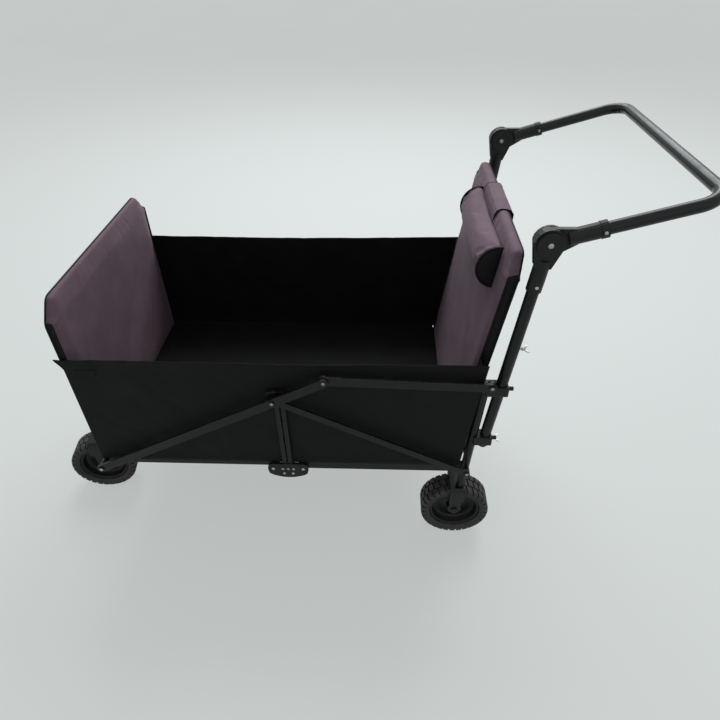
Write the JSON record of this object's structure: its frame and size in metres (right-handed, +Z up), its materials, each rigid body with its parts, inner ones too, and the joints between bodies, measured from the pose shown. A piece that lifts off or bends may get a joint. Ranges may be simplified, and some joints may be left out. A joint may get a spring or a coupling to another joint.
{
  "type": "folding camping trolley",
  "caption": "Folding camping trolley with a fabric tub in a scissor side frame, fixed rear wheels, front swivel casters and a folding push handle.",
  "frame": {"origin": "centre of the bounding box, on the ground", "axes": "+Z up, +X back towards the push handle, +Y across"},
  "size_m": [1.5255, 0.659, 0.9838],
  "materials": {
    "black_metal": "satin powder coat",
    "black_plastic": "moulded",
    "tyre_rubber": "block tread",
    "rim_plastic": "moulded",
    "tub_fabric": "woven",
    "panel_fabric": "woven, padded"
  },
  "bodies": {
    "rear_frame": {"rear_post_left": "black_metal", "rear_post_right": "black_metal", "rear_fork_left": "black_metal", "rear_fork_right": "black_metal", "handle_tube_left": "black_metal", "handle_tube_right": "black_metal", "lower_collar_left": "black_plastic", "lower_collar_right": "black_plastic", "upper_collar_left": "black_metal", "upper_collar_right": "black_metal", "knuckle_cheeks_left": "black_plastic", "knuckle_cheeks_right": "black_plastic", "side_wall_left": "tub_fabric", "side_wall_right": "tub_fabric", "rear_cross_tube": "black_metal", "tub_floor": "tub_fabric", "rear_panel": "panel_fabric", "bolster": "panel_fabric"},
    "rear_braces": {"rear_brace_left": "black_metal", "rear_brace_right": "black_metal"},
    "front_braces": {"front_brace_left": "black_metal", "front_brace_right": "black_metal"},
    "top_links": {"top_link_left": "black_metal", "top_link_right": "black_metal"},
    "centre_brackets": {"centre_bracket_left": "black_metal", "centre_bracket_right": "black_metal"},
    "centre_hub": {"centre_hub_left": "black_metal", "centre_hub_right": "black_metal", "hub_cross_tube": "black_metal"},
    "rear_half_bars": {"rear_half_bar_left": "black_metal", "rear_half_bar_right": "black_metal"},
    "front_half_bars": {"front_half_bar_left": "black_metal", "front_half_bar_right": "black_metal"},
    "front_frame": {"front_foot_left": "black_metal", "front_foot_right": "black_metal", "caster_bracket_left": "black_metal", "caster_bracket_right": "black_metal", "front_cross_tube": "black_metal", "front_panel": "panel_fabric"},
    "push_handle": {"knuckle_arm_left": "black_plastic", "knuckle_arm_right": "black_plastic", "handle_bar": "black_metal"},
    "front_caster_left": {"front_fork_left": "black_metal"},
    "front_wheel_left": {"front_wheel_left_tyre": "tyre_rubber", "front_wheel_left_rim": "rim_plastic"},
    "rear_wheel_left": {"rear_wheel_left_tyre": "tyre_rubber", "rear_wheel_left_rim": "rim_plastic"},
    "front_caster_right": {"front_fork_right": "black_metal"},
    "front_wheel_right": {"front_wheel_right_tyre": "tyre_rubber", "front_wheel_right_rim": "rim_plastic"},
    "rear_wheel_right": {"rear_wheel_right_tyre": "tyre_rubber", "rear_wheel_right_rim": "rim_plastic"}
  },
  "joints": [
    {"name": "fold", "type": "hinge", "parent": "rear_frame", "child": "rear_braces", "pos_m": [0.36559, 0, 0.266], "axis": [0, 1, 0], "range_deg": [0, 50.6], "deforming": ["side_wall_left", "side_wall_right", "tub_floor"]},
    {"name": "front_brace_fold", "type": "hinge", "parent": "rear_braces", "child": "front_braces", "pos_m": [-0.09571, 0, 0.5025], "axis": [0, 1, 0], "range_deg": [-101.2, 0]},
    {"name": "front_frame_fold", "type": "hinge", "parent": "front_braces", "child": "front_frame", "pos_m": [-0.55701, 0, 0.266], "axis": [0, 1, 0], "range_deg": [0, 50.6]},
    {"name": "bracket_fold", "type": "hinge", "parent": "rear_braces", "child": "centre_brackets", "pos_m": [-0.09571, 0, 0.5025], "axis": [0, 1, 0], "range_deg": [-50.6, 0]},
    {"name": "hub_slide", "type": "slide", "parent": "centre_brackets", "child": "centre_hub", "axis": [0, 0, 1], "range_m": [0, 0.1082]},
    {"name": "top_link_fold", "type": "hinge", "parent": "rear_frame", "child": "top_links", "pos_m": [0.39169, 0, 0.551], "axis": [0, 1, 0], "range_deg": [0, 71.05]},
    {"name": "rear_half_bar_fold", "type": "hinge", "parent": "rear_frame", "child": "rear_half_bars", "pos_m": [0.33459, 0, 0.262], "axis": [0, 1, 0], "range_deg": [0, 85.76]},
    {"name": "front_half_bar_fold", "type": "hinge", "parent": "front_frame", "child": "front_half_bars", "pos_m": [-0.50001, 0, 0.262], "axis": [0, 1, 0], "range_deg": [-85.76, 0]},
    {"name": "handle_fold", "type": "hinge", "parent": "rear_frame", "child": "push_handle", "pos_m": [0.45499, 0, 0.887], "axis": [0, 1, 0], "range_deg": [-70, 45]},
    {"name": "front_swivel_left", "type": "hinge", "parent": "front_frame", "child": "front_caster_left", "pos_m": [-0.63401, -0.132, 0.09], "axis": [0, 0, 1], "continuous": true},
    {"name": "front_wheel_left_spin", "type": "hinge", "parent": "front_caster_left", "child": "front_wheel_left", "pos_m": [-0.67164, -0.13729, 0.09], "axis": [-0.1392, 0.9903, 0], "continuous": true},
    {"name": "rear_wheel_left_spin", "type": "hinge", "parent": "rear_frame", "child": "rear_wheel_left", "pos_m": [0.35215, -0.271, 0.09], "axis": [0, 1, 0], "continuous": true},
    {"name": "front_swivel_right", "type": "hinge", "parent": "front_frame", "child": "front_caster_right", "pos_m": [-0.63401, 0.132, 0.09], "axis": [0, 0, 1], "continuous": true},
    {"name": "front_wheel_right_spin", "type": "hinge", "parent": "front_caster_right", "child": "front_wheel_right", "pos_m": [-0.67164, 0.12671, 0.09], "axis": [-0.1392, 0.9903, 0], "continuous": true},
    {"name": "rear_wheel_right_spin", "type": "hinge", "parent": "rear_frame", "child": "rear_wheel_right", "pos_m": [0.35215, 0.271, 0.09], "axis": [0, 1, 0], "continuous": true}
  ],
  "couplings": [
    {"joint": "front_brace_fold", "follows": "fold", "ratio": -2},
    {"joint": "front_frame_fold", "follows": "fold", "ratio": 1},
    {"joint": "bracket_fold", "follows": "fold", "ratio": -1},
    {"joint": "hub_slide", "follows": "fold", "m_per_rad": 0.1225},
    {"joint": "top_link_fold", "follows": "fold", "ratio": 1.4041},
    {"joint": "rear_half_bar_fold", "follows": "fold", "ratio": 1.6948},
    {"joint": "front_half_bar_fold", "follows": "fold", "ratio": -1.6948}
  ]
}
